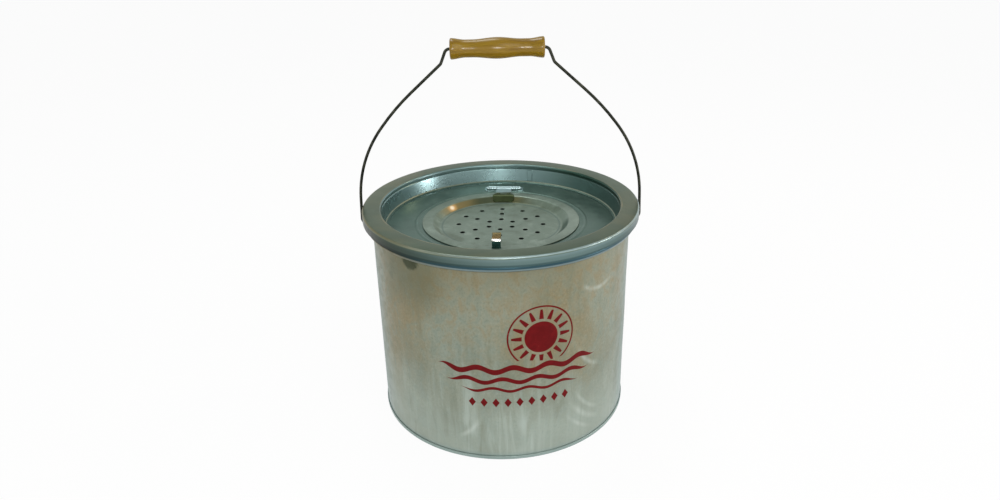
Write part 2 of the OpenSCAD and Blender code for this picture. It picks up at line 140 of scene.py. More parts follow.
def arc(cx, cy, r, a0, a1, n):
    """n + 1 points round (cx, cy), from a0 to a1 degrees."""
    return [(cx + r * math.cos(math.radians(a0 + (a1 - a0) * i / n)),
             cy + r * math.sin(math.radians(a0 + (a1 - a0) * i / n))) for i in range(n + 1)]


def new_object(name, mesh):
    o = bpy.data.objects.new(name, mesh)
    scene.collection.objects.link(o)
    return o


def smooth(o, angle):
    """Shaded smooth, apart from edges sharper than the angle."""
    o.data.polygons.foreach_set("use_smooth", [True] * len(o.data.polygons))
    o.data.set_sharp_from_angle(angle=math.radians(angle))
    return o


def made(name, co, faces, angle, merge=False):
    """An object from corners in mm and faces, with every face turned outward."""
    mesh = bpy.data.meshes.new(name)
    mesh.from_pydata((co * MM).tolist(), [], faces)
    bm = bmesh.new()
    bm.from_mesh(mesh)
    if merge:
        bmesh.ops.remove_doubles(bm, verts=bm.verts, dist=1e-7)
        bmesh.ops.dissolve_degenerate(bm, edges=bm.edges, dist=1e-7)
    bmesh.ops.recalc_face_normals(bm, faces=bm.faces)
    bm.to_mesh(mesh)
    bm.free()
    return smooth(new_object(name, mesh), angle)


def revolve(name, outline, turns, bend=None, axis="z", angle=32):
    """A closed outline of (r, z) in mm turned about the axis. turns is a number of even steps, or
    the angles themselves. bend(r, a, z) may move the points."""
    outline = np.array([tuple(p) for p in outline], float)
    a = np.linspace(0, 2 * math.pi, turns, endpoint=False) if isinstance(turns, int) else turns
    r, z = np.tile(outline[:, 0], (len(a), 1)), np.tile(outline[:, 1], (len(a), 1))
    aa = np.repeat(a[:, None], len(outline), 1)
    if bend:
        r, z = bend(r, aa, z)
    co = np.stack([r * np.cos(aa), r * np.sin(aa), z], -1).reshape(-1, 3)
    if axis == "x":
        co = co[:, [2, 1, 0]]
    n, m = len(a), len(outline)
    faces = []
    for i in range(n):
        j = (i + 1) % n
        for k in range(m):
            l = (k + 1) % m
            faces.append((i * m + k, j * m + k, j * m + l, i * m + l))
    return made(name, co, faces, angle, merge=True)


def tube(name, points, r, sides):
    """A round rod along points, in mm, with flat ends."""
    p = np.array(points, float)
    d = np.gradient(p, axis=0)
    d /= np.linalg.norm(d, axis=1)[:, None]
    side = np.array([0.0, 1.0, 0.0])
    co = []
    for i in range(len(p)):
        u = side - d[i] * (side @ d[i])
        u /= np.linalg.norm(u)
        v = np.cross(d[i], u)
        for k in range(sides):
            t = 2 * math.pi * k / sides
            co.append(p[i] + r * (math.cos(t) * u + math.sin(t) * v))
    faces = [(i * sides + k, i * sides + (k + 1) % sides,
              (i + 1) * sides + (k + 1) % sides, (i + 1) * sides + k)
             for i in range(len(p) - 1) for k in range(sides)]
    faces += [tuple(range(sides))[::-1], tuple((len(p) - 1) * sides + k for k in range(sides))]
    return made(name, np.array(co), faces, 50)


def turned_by(o, degrees):
    o.data.transform(Matrix.Rotation(math.radians(degrees), 4, "Z"))
    return o


def softened(node, width):
    """A copy of a CAD node's mesh with its sharp edges rounded, to stand for the node."""
    o = new_object(node + "_dressed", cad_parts[node].data.copy())
    bm = bmesh.new()
    bm.from_mesh(o.data)
    bmesh.ops.remove_doubles(bm, verts=bm.verts, dist=1e-6)
    bmesh.ops.dissolve_limit(bm, angle_limit=math.radians(1.5), verts=bm.verts, edges=bm.edges)
    bm.to_mesh(o.data)
    bm.free()
    b = o.modifiers.new("bevel", "BEVEL")
    b.width, b.segments, b.limit_method, b.angle_limit = width * MM, 3, "ANGLE", math.radians(28)
    return smooth(o, 35)


def dress(o, mat):
    o.data.materials.clear()
    o.data.materials.append(mat)
    return o


def place(o, body, node, mat):
    """The piece rides its body, stands for its node and wears the material."""
    dress(o, mat)
    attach(o, body)
    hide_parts(node)
    return o


# ---- Material helpers

class Net:
    """A material's node tree, written as arithmetic on its sockets."""

    def __init__(self, name):
        self.mat = bpy.data.materials.new(name)
        self.mat.use_nodes = True
        self.tree = self.mat.node_tree
        self.tree.nodes.clear()
        self.shader = self.tree.nodes.new("ShaderNodeBsdfPrincipled")
        out = self.tree.nodes.new("ShaderNodeOutputMaterial")
        self.tree.links.new(self.shader.outputs[0], out.inputs[0])
        self.at = self.node("ShaderNodeTexCoord").outputs["Object"]

    def node(self, kind, **values):
        n = self.tree.nodes.new(kind)
        for k, v in values.items():
            setattr(n, k, v)
        return n

    def put(self, socket, value):
        """Gives an input a number, a colour or the socket that feeds it."""
        if isinstance(value, Val):
            value = value.s
        if isinstance(value, bpy.types.NodeSocket):
            self.tree.links.new(value, socket)
        else:
            socket.default_value = value

    def math(self, op, *args):
        n = self.node("ShaderNodeMath", operation=op)
        for i, a in enumerate(args):
            self.put(n.inputs[i], a)
        return Val(self, n.outputs[0])

    def hypot(self, a, b):
        return self.math("SQRT", a * a + b * b)

    def xyz(self):
        n = self.node("ShaderNodeSeparateXYZ")
        self.put(n.inputs[0], self.at)
        return [Val(self, o) for o in n.outputs]

    def level(self):
        """How level the surface lies: 1 on a flat top, 0 on an upright wall."""
        s = self.node("ShaderNodeSeparateXYZ")
        self.put(s.inputs[0], self.node("ShaderNodeNewGeometry").outputs["Normal"])
        return Val(self, s.outputs[2]).abs()

    def vec(self, x, y, z):
        n = self.node("ShaderNodeCombineXYZ")
        for s, a in zip(n.inputs, (x, y, z)):
            self.put(s, a)
        return n.outputs[0]

    def scaled(self, sx, sy, sz, shift=(0, 0, 0)):
        """The place on the object, stretched and moved."""
        n = self.node("ShaderNodeMapping")
        self.put(n.inputs[0], self.at)
        n.inputs["Location"].default_value = shift
        n.inputs["Scale"].default_value = (sx, sy, sz)
        return n.outputs[0]

    def noise(self, v, scale, detail, rough, warp=0.0):
        n = self.node("ShaderNodeTexNoise")
        self.put(n.inputs["Vector"], v)
        for k, a in (("Scale", scale), ("Detail", detail), ("Roughness", rough), ("Distortion", warp)):
            n.inputs[k].default_value = a
        return Val(self, n.outputs["Fac"])

    def cells(self, v, scale):
        """One random number for each cell of a broken-up space."""
        n = self.node("ShaderNodeTexVoronoi")
        self.put(n.inputs["Vector"], v)
        n.inputs["Scale"].default_value = scale
        s = self.node("ShaderNodeSeparateColor")
        self.put(s.inputs[0], n.outputs["Color"])
        return Val(self, s.outputs[0])

    def ramp(self, x, lo, hi, a=0.0, b=1.0):
        """x from lo to hi becomes a to b, smoothly."""
        n = self.node("ShaderNodeMapRange", interpolation_type="SMOOTHSTEP")
        for i, v in enumerate((x, lo, hi, a, b)):
            self.put(n.inputs[i], v)
        return Val(self, n.outputs[0])

    def mix(self, fac, a, b):
        """A colour between a and b."""
        n = self.node("ShaderNodeMix", data_type="RGBA")
        self.put(n.inputs["Factor"], fac)
        self.put(n.inputs[6], a if not isinstance(a, tuple) else (*a, 1.0))
        self.put(n.inputs[7], b if not isinstance(b, tuple) else (*b, 1.0))
        return n.outputs[2]

    def mix1(self, fac, a, b):
        """A number between a and b."""
        return fac * (b - a) + a

    def finish(self, color, rough, metallic, height, bump, **constant):
        """Feeds the shader. The rest are its constant inputs, with _ for a space."""
        s = self.shader
        self.put(s.inputs["Base Color"], color)
        self.put(s.inputs["Roughness"], rough)
        self.put(s.inputs["Metallic"], metallic)
        for k, v in constant.items():
            s.inputs[k.replace("_", " ")].default_value = v
        b = self.node("ShaderNodeBump")
        b.inputs["Strength"].default_value = bump
        b.inputs["Distance"].default_value = BUMP_DEPTH
        self.put(b.inputs["Height"], height)
        self.put(s.inputs["Normal"], b.outputs[0])
        return self.mat


class Val:
    """A number in a node tree."""

    def __init__(self, net, s):
        self.net, self.s = net, s

    def __add__(self, o): return self.net.math("ADD", self, o)
    def __radd__(self, o): return self.net.math("ADD", o, self)
    def __sub__(self, o): return self.net.math("SUBTRACT", self, o)
    def __rsub__(self, o): return self.net.math("SUBTRACT", o, self)
    def __mul__(self, o): return self.net.math("MULTIPLY", self, o)
    def __truediv__(self, o): return self.net.math("DIVIDE", self, o)
    def abs(self): return self.net.math("ABSOLUTE", self)
    def sin(self): return self.net.math("SINE", self)
    def max(self, o): return self.net.math("MAXIMUM", self, o)


BUMP_DEPTH = 0.0002


def srgb(*levels):
    """A colour of three levels from 0 to 255, as the linear values that a shader takes."""
    return tuple(c / 12.92 if c <= 0.04045 else ((c + 0.055) / 1.055) ** 2.4
                 for c in (level / 255 for level in levels))


def radius_mm(n):
    x, y, _ = n.xyz()
    return n.hypot(x, y) * 1000.0


def around(n):
    """Distance round the pail's wall from the front, to the right, and height, both in mm."""
    x, y, z = n.xyz()
    return n.math("ARCTAN2", x, y * -1.0) * WALL_R, z * 1000.0


# ---- Finishes
# Each takes a net with its colour, roughness and metallic value, and gives those three back.

RUBS = [                                  # u, z, radius, width, from, to
    (97, 196, 33, 3.4, -2.4, -0.9), (112, 122, 42, 3.6, -2.9, -1.8), (122, 84, 56, 3.4, -2.8, -1.9),
    (122, 84, 66, 4.6, -2.7, -1.8), (122, 84, 77, 3.4, -2.6, -1.9), (-64, 62, 44, 3.6, -1.2, -0.3)]
STAIN_U, STAIN_Z = -88.0, 193.5
ROLL_FOOT = 197.4                         # height at which the wall turns into its rolled bead

SUN_U, SUN_Z = 34.0, 130.0
SUN_RAYS = 16
DISC_R, RAY_IN, RAY_OUT, RING_R = 15.5, 18.0, 27.5, 30.5
HORIZON = 106.5
WAVES = [                                 # height, left end, right end, swell, phase, width
    (99.0, -64.0, 94.0, 2.4, 0.0, 2.8), (87.5, -56.0, 86.0, 2.1, 1.9, 2.2),
    (78.0, -42.0, 74.0, 1.8, 3.6, 1.5)]
DIAMONDS_U, DIAMONDS_Z, DIAMONDS_HALF, DIAMONDS_STEP = 14.0, 64.0, 50.0, 5.5
INK_EDGE = 0.22


def ring_mark(n, u, z, u0, z0, r, width, a0, a1):
    """A soft arc of light rubbing round (u0, z0), from angle a0 to a1."""
    du, dz = u - u0, z - z0
    d = n.hypot(du, dz)
    ang = n.math("ARCTAN2", dz, du)
    span = n.ramp(ang, a0, a0 + 0.35) * n.ramp(ang, a1 - 0.35, a1, 1.0, 0.0)
    return n.ramp((d - r).abs(), 0.0, width, 1.0, 0.0) * span


def sign(n, u, z):
    """A plain printed sign: a rayed sun over three rows of waves, with a row of diamonds below."""
    def inside(d):
        return n.ramp(d, -INK_EDGE, INK_EDGE, 1.0, 0.0)

    su, sz = u - SUN_U, z - SUN_Z
    d = n.hypot(su, sz)
    a = n.math("ARCTAN2", sz, su)
    disc = inside(d - DISC_R)
    tooth = n.math("PINGPONG", a * (SUN_RAYS / (2 * math.pi)), 0.5)    # 0 on a ray, 0.5 between two
    ray = inside((tooth - 0.30 + (d - RAY_IN) * 0.022) * 9.0) * inside(RAY_IN - d) * inside(d - RAY_OUT)
    ring = inside((d - RING_R).abs() - 0.8)
    over = inside(HORIZON - z + (u / 9.0).sin() * 1.5)
    mask = (disc.max(ray).max(ring)) * over
    for z0, lo, hi, swell, phase, width in WAVES:
        wave = (z - z0 - (u / 5.2 + phase).sin() * swell).abs()
        taper = n.ramp(u, lo, lo + 18.0, 0.0, 1.0) * n.ramp(u, hi - 18.0, hi, 1.0, 0.0)
        mask = mask.max(inside(wave - taper * width) * n.ramp(taper, 0.0, 0.05))
    cell = n.math("PINGPONG", u - DIAMONDS_U, DIAMONDS_STEP)
    dia = cell + (z - DIAMONDS_Z).abs() * 0.7
    return mask.max(inside(dia - 3.4) * inside((u - DIAMONDS_U).abs() - DIAMONDS_HALF))


def body_finish(n, color, r, m):
    """Handled zinc: clouds, streaks, whitish runs, rub marks, a stain and a printed sign, with a painted
    reflection at the sides and painted light and shade on the rolled bead.
    """
    u, z = around(n)
    # warm clouds and cool ones, both stronger high up
    warm = n.noise(n.scaled(1, 1, 1, shift=(3.1, 0, 5)), 9, 3, 0.5, 0.4)
    high = n.ramp(z, 40.0, 190.0)
    color = n.mix(n.ramp(warm + (high - 0.5) * 0.25, 0.40, 0.64, 0.0, 0.7), color, srgb(138, 128, 96))
    color = n.mix(n.ramp(warm - (high - 0.5) * 0.3, 0.60, 0.38, 0.0, 0.5), color, srgb(148, 160, 148))
    # flecks and grain
    fleck = n.noise(n.vec(u / 9.0, z / 13.0, 1.3), 1.0, 5, 0.62, 0.7)
    rusty = n.ramp(fleck, 0.42, 0.66) * n.ramp(z, 50.0, 185.0, 0.1, 0.6)
    color = n.mix(rusty, color, srgb(143, 126, 92))
    color = n.mix(n.ramp(fleck, 0.50, 0.34) * 0.45, color, srgb(122, 134, 122))
    grain = n.noise(n.vec(u / 1.9, z / 2.6, 5.0), 1.0, 3, 0.65)
    color = n.mix(n.ramp(grain, 0.50, 0.70, 0.0, 0.45), color, srgb(108, 114, 98))
    color = n.mix(n.ramp(grain, 0.46, 0.30, 0.0, 0.35), color, srgb(158, 164, 150))
    # paler below, darker at the top's left, a painted cool reflection at the sides, warmer along the top
    color = n.mix(n.ramp(z, 105.0, 12.0, 0.0, 0.62), color, srgb(164, 177, 168))
    corner = n.ramp(u, -40.0, -80.0) * n.ramp(u, -150.0, -115.0) * n.ramp(z, 130.0, 178.0)
    color = n.mix(corner * 0.6, color, srgb(90, 97, 78))
    flank_reflection = n.ramp(u.abs(), 120.0, 172.0)
    color = n.mix(flank_reflection * 0.7, color, srgb(120, 144, 142))
    top = n.ramp(z, 150.0, 197.0) * n.ramp(u, 150.0, 20.0, 0.2, 0.42)
    color = n.mix(top, color, srgb(116, 108, 76))
    # whitish and dull runs down the front
    drawn = n.noise(n.vec(u / 9.0, z / 130.0, 2.7), 1.0, 4, 0.55, 0.9)
    wide = n.noise(n.vec(u / 24.0, z / 90.0, 8.1), 1.0, 3, 0.5, 0.9)
    middle = n.ramp((u + 8.0).abs(), 12.0, 70.0, 1.0, 0.25)
    runs = n.ramp(drawn * 0.5 + wide * 0.5, 0.46, 0.66) * n.ramp(z, 150.0, 15.0, 0.05, 0.85) * middle
    color = n.mix(runs, color, srgb(182, 194, 186))
    dull = n.noise(n.vec(u / 15.0, z / 70.0, 4.4), 1.0, 4, 0.6, 0.8)
    color = n.mix(n.ramp(dull, 0.52, 0.72) * 0.35, color, srgb(112, 116, 96))
    for rub in RUBS:
        patchy = n.ramp(grain * 0.3 + drawn * 0.7, 0.36, 0.62, 0.1, 0.36)
        color = n.mix(ring_mark(n, u, z, *rub) * patchy, color, srgb(208, 216, 208))
    stain = n.noise(n.scaled(1, 1, 1), 120, 4, 0.6, 1.0)
    du, dz = (u - STAIN_U) / 9.5, (z - STAIN_Z) / 6.5
    blot = n.ramp(du * du + dz * dz + (stain - 0.5) * 1.6 + (grain - 0.5), 0.4, 1.4, 0.95, 0.0)
    color = n.mix(blot, color, srgb(58, 64, 42))
    color = n.mix(n.ramp(z, 1.0, 9.0, 0.75, 0.0), color, srgb(140, 160, 158))
    # the rolled bead: painted shade on its lower side, a painted highlight along its middle (warm on the
    # left, cool on the right), and a painted shadow at its top under the collar
    side = n.ramp(u, -120.0, -20.0)
    bead = n.ramp(z, 198.9, 199.7) * n.ramp(z, 201.2, 202.0, 1.0, 0.0)
    crease_shade = n.ramp(z, ROLL_FOOT, ROLL_FOOT + 0.8) * (1.0 - bead) * 0.55
    color = n.mix(crease_shade, color, srgb(96, 104, 92))
    color = n.mix(bead * 0.85, color, n.mix(side, srgb(108, 102, 74), srgb(118, 140, 146)))
    collar_shadow = n.mix(side, srgb(26, 36, 24), srgb(50, 80, 90))
    color = n.mix(n.ramp(z, 200.9, 201.5) * 0.95, color, collar_shadow)
    # the print
    ink = sign(n, u, z) * n.ramp(stain, 0.72, 0.80, 1.0, 0.55)
    red = n.mix(n.ramp(stain, 0.35, 0.65), srgb(100, 7, 11), srgb(112, 11, 15))
    color = n.mix(ink, color, red)
    on_bead = n.ramp(z, ROLL_FOOT, ROLL_FOOT + 1.0)
    r = r + ink * 0.08 - on_bead * n.mix1(side, -0.04, 0.04)
    return color, r, on_bead * 0.2 + m + ink * 0.1


def collar_finish(n, color, r, m):
    """Painted light on the collar: the skirt is painted shaded dark green on the left and lit cool on the
    right, lighter near its top and shaded at its foot, and a painted highlight runs along the rolled edge.
    """
    x, y, z = n.xyz()
    z = z * 1000.0
    d = radius_mm(n)
    # painted light on the skirt: shade on the left, a cool lit tone on the right, lighter near the top,
    # painted shade at the foot
    side = n.ramp(x, -0.125, 0.02)
    skirt = n.ramp(d, COLLAR_R - 2.6, COLLAR_R - 1.4) * n.ramp(z, TOP_Z - 1.6, TOP_Z - 2.6)
    cool = n.mix(n.ramp(x, 0.06, 0.125), srgb(102, 126, 126), srgb(70, 94, 94))
    color = n.mix(skirt * 0.85, color, n.mix(side, srgb(20, 32, 18), cool))
    skirt_highlight = skirt * n.ramp(z, SKIRT_Z + 3.5, TOP_Z - 2.0, 0.0, 0.35)
    color = n.mix(skirt_highlight, color, n.mix(side, srgb(52, 66, 48), srgb(142, 164, 166)))
    skirt_shade = skirt * n.ramp(z, SKIRT_Z + 2.6, SKIRT_Z + 1.0, 0.0, 0.75)
    color = n.mix(skirt_shade, color, n.mix(side, srgb(8, 20, 12), srgb(52, 78, 80)))
    # a painted highlight along the rolled edge, tan on the left and pale on the right, broken up by noise
    highlight_breaks = n.ramp(n.noise(n.at, 40, 2, 0.5), 0.35, 0.65, 0.7, 0.95)
    edge = n.ramp((d - (COLLAR_R - 0.7)).abs(), 0.3, 1.0, 1.0, 0.0) * n.ramp(z, TOP_Z - 2.2, TOP_Z - 1.2)
    color = n.mix(edge * highlight_breaks, color, n.mix(side, srgb(128, 120, 88), srgb(158, 176, 178)))
    tan = n.noise(n.scaled(1, 1, 1, shift=(7, 2, 1)), 13, 3, 0.55, 0.5)
    tan = n.ramp(tan, 0.46, 0.66, 0.0, 0.5) * (1.0 - skirt) * (1.0 - edge)
    color = n.mix(tan, color, srgb(114, 114, 86))
    # at the back the inner roll carries a painted reflection like the well below it, pale on the left and
    # dark on the right; a thin tan line starts it
    roll_reflection = n.ramp(d, WELL_R + 1.9, WELL_R + 0.7) * n.ramp(y, -0.04, 0.03)
    color = n.mix(roll_reflection, color, n.mix(n.ramp(x, 0.0, 0.085), srgb(124, 149, 149), srgb(58, 84, 74)))
    lip = n.ramp((d - (WELL_R + 1.7)).abs(), 0.2, 0.7, 1.0, 0.0)
    lip = lip * n.ramp(n.noise(n.at, 24, 3, 0.6), 0.42, 0.6, 0.0, 0.75)
    color = n.mix(lip, color, srgb(150, 138, 104))
    return color, r - roll_reflection * 0.05 + edge * 0.06, m + roll_reflection * 0.1


def well_finish(n, color, r, m):
    """Painted shade on the right of the well: a dull dark green, with rougher and less metallic metal
    there.
    """
    x, _, _ = n.xyz()
    dull = n.ramp(x, 0.015, 0.095)
    return n.mix(dull * 0.8, color, srgb(50, 78, 68)), r + dull * 0.1, m - dull * 0.25


def solder_finish(n, color, r, m):
    """A thin clean ridge runs along the fillet."""
    ridge = n.ramp((radius_mm(n) - (WELL_FOOT - 0.25)).abs(), 0.15, 0.6, 1.0, 0.0)
    return n.mix(ridge * 0.75, color, srgb(160, 166, 146)), r, m


def strap_finish(n, color, r, m):
    """The strap is bright where it wraps the pin, and tarnished where it lies on the door."""
    _, y, _ = n.xyz()
    return n.mix(n.ramp(y, 0.0735, 0.0765), color, srgb(160, 180, 182)), r, m


def door_finish(n, color, r, m):
    """Painted light on the door: an olive reflection on the dish's slope, most at the back, a warm
    highlight, a shade crescent, a shade line at the slope's foot, and shade under the edge and in the
    holes.
    """
    x, y, z = n.xyz()
    d = radius_mm(n)
    # a painted olive reflection on the slope, most at the back and paler on the left
    back = n.ramp(y, 0.012, 0.046, 0.0, 0.9) * n.ramp(x, 0.016, 0.044, 1.0, 0.3)
    slope = n.ramp(d, DISH_FOOT - 0.9, DISH_FOOT + 0.5) * n.ramp(d, DISH_R - 0.9, DISH_R + 0.5, 1.0, 0.0)
    cloud = n.noise(n.scaled(1, 1, 1, shift=(2, 5, 1)), 38, 3, 0.55, 0.4)
    slope_reflection = n.mix(n.ramp(cloud, 0.40, 0.60), srgb(66, 72, 46), srgb(96, 92, 56))
    slope_reflection = n.mix(n.ramp(x, -0.018, -0.040), slope_reflection, srgb(132, 116, 72))
    # a painted highlight: a pale spot with a warm rim, at the back on the left
    dx, dy = x + 0.0505, y - 0.0405
    along, across = dx * 1.3 - dy, dx + dy * 1.3
    highlight_spot = n.math("SQRT", along * along * 1.2 + across * across * 0.4)
    slope_reflection = n.mix(n.ramp(highlight_spot, 0.002, 0.009, 0.9, 0.0), slope_reflection, srgb(222, 176, 112))
    slope_reflection = n.mix(n.ramp(highlight_spot, 0.001, 0.0045, 1.0, 0.0), slope_reflection, srgb(255, 244, 226))
    color = n.mix(slope * back, color, slope_reflection)
    # on the right a painted shade crescent on the slope, and a lighter patch on the flange
    bearing = n.math("ARCTAN2", y, x)
    shade_crescent = n.ramp((bearing + 0.28).abs(), 0.08, 0.36, 1.0, 0.0)
    color = n.mix(slope * shade_crescent * 0.8, color, srgb(62, 84, 70))
    flange = n.ramp(d, DISH_R + 0.4, DISH_R + 1.4) * n.ramp((bearing + 0.1).abs(), 0.25, 0.7, 1.0, 0.0)
    color = n.mix(flange * n.ramp(cloud, 0.36, 0.62, 0.2, 0.6), color, srgb(166, 180, 168))
    # painted shade: a darker line at the foot of the slope
    foot_shade = n.ramp((d - (DISH_FOOT - 2.8)).abs(), 0.3, 1.2, 1.0, 0.0)
    color = n.mix(foot_shade * 0.55, color, srgb(88, 110, 106))
    # a painted shadow on the flange's outer rim, where it stands over the deck
    edge = n.ramp(d, DOOR_R - 1.0, DOOR_R - 0.3) * n.ramp(z * 1000.0, DOOR_Z - 0.6, DOOR_Z - 0.1, 1.0, 0.0)
    color = n.mix(edge * 0.8, color, srgb(58, 68, 56))
    # every hole's wall is painted near black as shade
    hole_shade = n.ramp(n.level(), 0.5, 0.2) * n.ramp(d, DISH_FOOT - 6.0, DISH_FOOT - 8.0)
    color = n.mix(hole_shade, color, srgb(22, 26, 22))
    return color, r + slope * 0.08, m


def catch_finish(n, color, r, m):
    """The spring strip: a painted brown reflection on top, a painted highlight along its bend, and its dark
    base colour on the leg.
    """
    _, y, z = n.xyz()
    y = y * 1000.0
    top_reflection = n.mix(n.ramp(y, -62.0, -69.0), srgb(84, 74, 46), srgb(120, 98, 62))
    color = n.mix(n.ramp(y, -70.6, -69.6), color, top_reflection)
    # a painted highlight along the bend
    bend = n.ramp(y, -72.2, -71.7) * n.ramp(y, -70.6, -69.8, 1.0, 0.0)
    bend = bend * n.ramp(z * 1000.0, DOOR_Z + 6.4, DOOR_Z + 7.4)
    color = n.mix(bend, color, srgb(236, 232, 224))
    return color, r, m


# ---- Materials

def galvanised(name, dark, mid, light, rough, metallic, spangle=160, mottle=22, contrast=1.0, seed=0.0,
               bump=0.12, vary=1.0, extra=None):
    """Zinc-coated sheet in three tones: broad soft mottling, faint spangle and fine grit."""
    n = Net(name)
    v = n.scaled(1, 1, 1, shift=(seed, seed * 0.7, -seed))
    broad = n.noise(v, mottle, 4, 0.55, 0.8)
    patch = n.noise(v, mottle * 3.7, 4, 0.6, 0.5)
    fine = n.noise(v, 1100, 3, 0.6)
    spang = n.cells(v, spangle)
    tone = broad * 0.55 + patch * 0.27 + spang * 0.08 + fine * 0.10
    w = 0.16 / contrast
    color = n.mix(n.ramp(tone, 0.5 - w, 0.5), srgb(*dark), srgb(*mid))
    color = n.mix(n.ramp(tone, 0.5, 0.5 + w), color, srgb(*light))
    r = n.ramp(patch * 0.7 + spang * 0.3, 0.3, 0.7, rough - 0.06 * vary, rough + 0.08 * vary)
    m = metallic
    if extra:
        color, r, m = extra(n, color, r, m)
    return n.finish(color, r, m, fine * 0.3 + patch, bump)


def dark_wire():
    n = Net("dark_wire")
    a = n.noise(n.at, 140, 5, 0.65)
    b = n.noise(n.at, 1500, 3, 0.6)
    color = n.mix(n.ramp(a, 0.35, 0.65), srgb(24, 28, 20), srgb(58, 60, 48))
    color = n.mix(n.ramp(b, 0.62, 0.75), color, srgb(104, 100, 80))
    return n.finish(color, n.ramp(a, 0.3, 0.7, 0.34, 0.52), 0.7, a * 0.6 + b * 0.5, 0.25)


def varnished_wood():
    """Grain that runs along x, under a clear coat."""
    n = Net("varnished_wood")
    grain = n.noise(n.scaled(9, 75, 75), 3.2, 5, 0.5, 0.6)
    lines = n.noise(n.scaled(10, 260, 260), 1.4, 2, 0.5, 0.3)
    pores = n.noise(n.scaled(40, 520, 520), 1.3, 1, 0.5)
    tone = grain * 0.6 + lines * 0.4
    color = n.mix(n.ramp(tone, 0.36, 0.52), srgb(124, 92, 8), srgb(137, 105, 10))
    color = n.mix(n.ramp(tone, 0.52, 0.68), color, srgb(148, 116, 18))
    color = n.mix(n.ramp(pores, 0.60, 0.76, 0, 0.22), color, srgb(100, 74, 8))
    return n.finish(color, n.ramp(grain, 0.3, 0.7, 0.38, 0.5), 0.0, lines * 0.7 + pores, 0.03,
                    Coat_Weight=0.85, Coat_Roughness=0.2, Coat_IOR=1.42, Specular_IOR_Level=0.1)


STEEL = dict(spangle=400, mottle=60, contrast=0.4)

sheet_body = galvanised("galvanised_body", (116, 120, 102), (132, 137, 120), (150, 156, 141),
                        rough=0.42, metallic=0.7, bump=0.15, extra=body_finish)
sheet_collar = galvanised("galvanised_collar", (72, 87, 69), (84, 99, 80), (98, 112, 94),
                          rough=0.35, metallic=0.8, contrast=0.7, seed=1.3, bump=0.005, vary=0.35,
                          extra=collar_finish)
sheet_well = galvanised("galvanised_well", (112, 137, 136), (128, 153, 153), (146, 170, 171),
                        rough=0.28, metallic=0.95, contrast=0.3, seed=2.1, bump=0.004, vary=0.2,
                        extra=well_finish)
sheet_deck = galvanised("galvanised_deck", (78, 100, 92), (97, 120, 111), (118, 139, 130),
                        rough=0.34, metallic=0.75, contrast=0.8, seed=3.7, bump=0.02, vary=0.6)
sheet_door = galvanised("galvanised_door", (106, 119, 104), (126, 141, 128), (150, 164, 152),
                        rough=0.34, metallic=0.7, mottle=30, seed=4.9, bump=0.012, vary=0.5,
                        extra=door_finish)
sheet_inner = galvanised("galvanised_inner", (104, 114, 106), (126, 136, 128), (150, 158, 150),
                         rough=0.5, metallic=0.3, seed=6.1)
fitting = galvanised("galvanised_fitting", (80, 88, 80), (104, 112, 104), (134, 142, 134),
                     rough=0.42, metallic=0.75, spangle=300, mottle=60, seed=7.7)
bright = galvanised("bright_steel", (140, 160, 160), (170, 190, 192), (205, 222, 224),
                    rough=0.26, metallic=0.9, seed=8.3, bump=0.01, vary=0.4, **STEEL)
olive = galvanised("tarnished_steel", (58, 68, 44), (70, 80, 52), (84, 92, 62),
                   rough=0.3, metallic=0.85, seed=9.9, bump=0.01, vary=0.4, extra=strap_finish, **STEEL)
spring = galvanised("spring_steel", (46, 80, 74), (60, 94, 86), (78, 110, 102),
                    rough=0.24, metallic=0.9, seed=5.3, bump=0.005, vary=0.3, extra=catch_finish, **STEEL)
solder = galvanised("solder", (62, 84, 78), (78, 100, 92), (96, 118, 108),
                    rough=0.42, metallic=0.8, spangle=200, mottle=130, seed=9.1, bump=0.08,
                    extra=solder_finish)
wire_mat = dark_wire()
wood_mat = varnished_wood()

# ---- Camera

right = Vector((0.9997716, -0.00870955, -0.01951621))
up = Vector((0.02137144, 0.40743908, 0.91298229))
back = right.cross(up).normalized()
up = back.cross(right).normalized()
cam = bpy.data.objects.new("camera", bpy.data.cameras.new("camera"))
scene.collection.objects.link(cam)
cam.matrix_world = Matrix(((right.x, up.x, back.x, -0.0013875), (right.y, up.y, back.y, -0.6932211),
                           (right.z, up.z, back.z, 0.4700352), (0, 0, 0, 1)))
cam.data.sensor_width = 36
cam.data.lens = 26.948
cam.data.clip_start, cam.data.clip_end = 0.01, 100
scene.camera = cam

scene.view_settings.view_transform = "Standard"

# ---- World, floor and lamps

WHITE = (1, 1, 1, 1)
SKY_WHITE_TO, SKY_GREY_FROM = 0.06, 0.62  # upward part of the direction looked in
SKY_GREY = (0.42, 0.47, 0.45, 1)
SKY_LIGHT, SKY_POWER = (0.95, 1.0, 0.98, 1), 0.45
FLOOR_GLOW = 0.94                         # share of the seen floor that is plain white, without a shadow
GROUND_Z = -0.0002
LAMPS = [                                 # name, place, target, size, power, colour; in metres and watts
    ("key", (0.7, -1.3, 1.5), (0, 0, 0.15), 1.3, 8, (1, 0.99, 0.96)),
    ("flash", (0.02, -0.80, 0.51), (0, 0, 0.2), 0.16, 1.6, (1, 1, 1)),
    ("side", (1.58, -0.26, 0.34), (0, 0.03, 0.2), 0.36, 7.5, (1, 0.95, 0.97)),
    ("fill", (-1.4, -0.8, 1.0), (0, 0, 0.15), 1.0, 3, (1, 0.97, 0.92)),
    ("top", (-0.3, 0.6, 1.8), (0, 0, 0.2), 0.7, 7, (1, 1, 1)),
    ("warm", (1.0, 0.59, 1.09), (0, 0, 0.2), 0.09, 1.6, (1, 0.72, 0.45))]


def emptied(owner):
    """The owner's node tree, without nodes."""
    owner.use_nodes = True
    owner.node_tree.nodes.clear()
    return owner.node_tree


